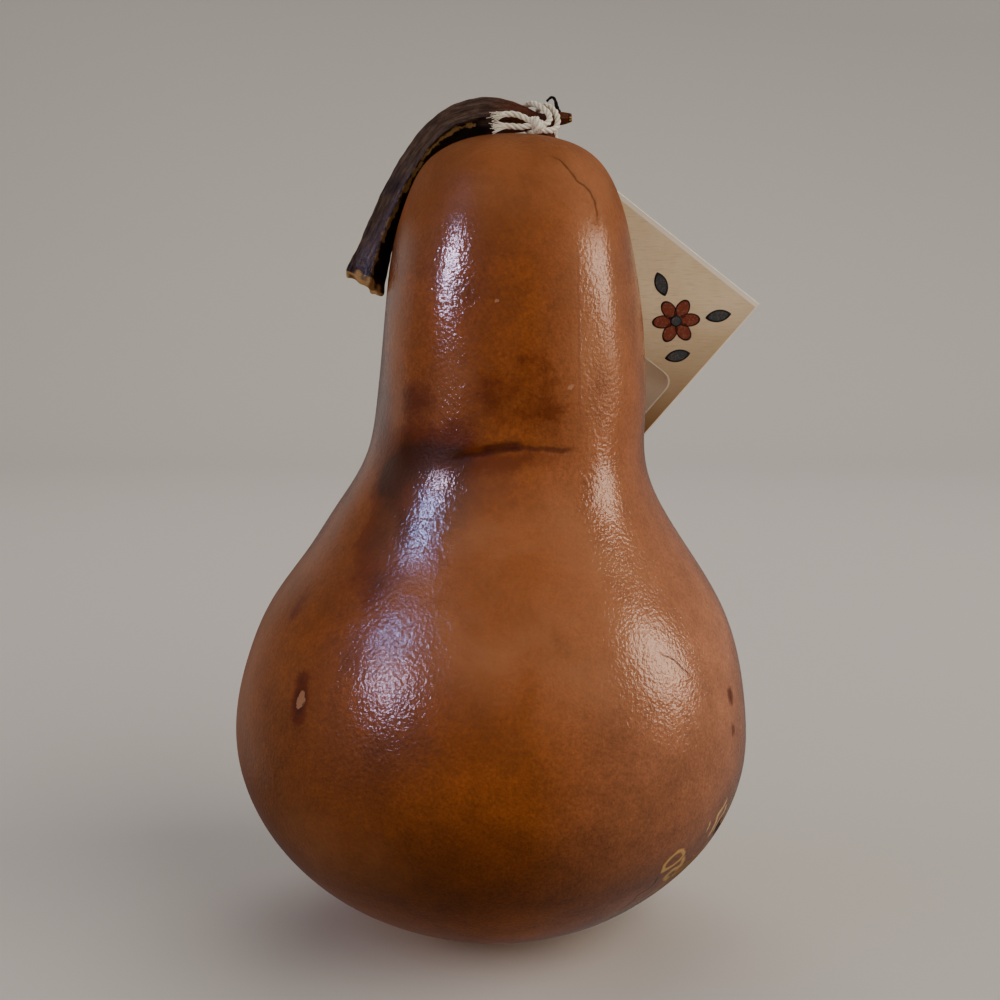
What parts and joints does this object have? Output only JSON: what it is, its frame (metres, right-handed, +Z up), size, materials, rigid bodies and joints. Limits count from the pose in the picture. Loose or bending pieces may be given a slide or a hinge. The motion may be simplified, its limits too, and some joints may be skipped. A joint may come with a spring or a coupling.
{
  "type": "dried bottle gourd",
  "caption": "Pear-shaped dried bottle gourd with a glossy brown rind and a curled dark stem, and a card tag tied to the stem with cotton string.",
  "frame": {"origin": "centre of the flat spot that the gourd stands on", "axes": "+Z up along the gourd's height, -Y towards the gourd's front, +X to the right as seen from the front; the stem droops towards -X and the tag hangs behind, towards +Y"},
  "size_m": [0.0982, 0.0934, 0.1514],
  "materials": {
    "waxed_rind": "woody gourd rind, stained orange-brown and waxed to a satin gloss",
    "dried_stem": "dark brown dried stem with ridges, lightly glossy",
    "cotton_string": "cream twisted cotton string, matte",
    "kraft_card": "tan uncoated card, matte",
    "clear_film": "thin clear film"
  },
  "bodies": {
    "root": {"gourd": "waxed_rind", "stem": "dried_stem", "string": "cotton_string", "tag": "kraft_card", "tag_label": "clear_film"}
  },
  "joints": []
}
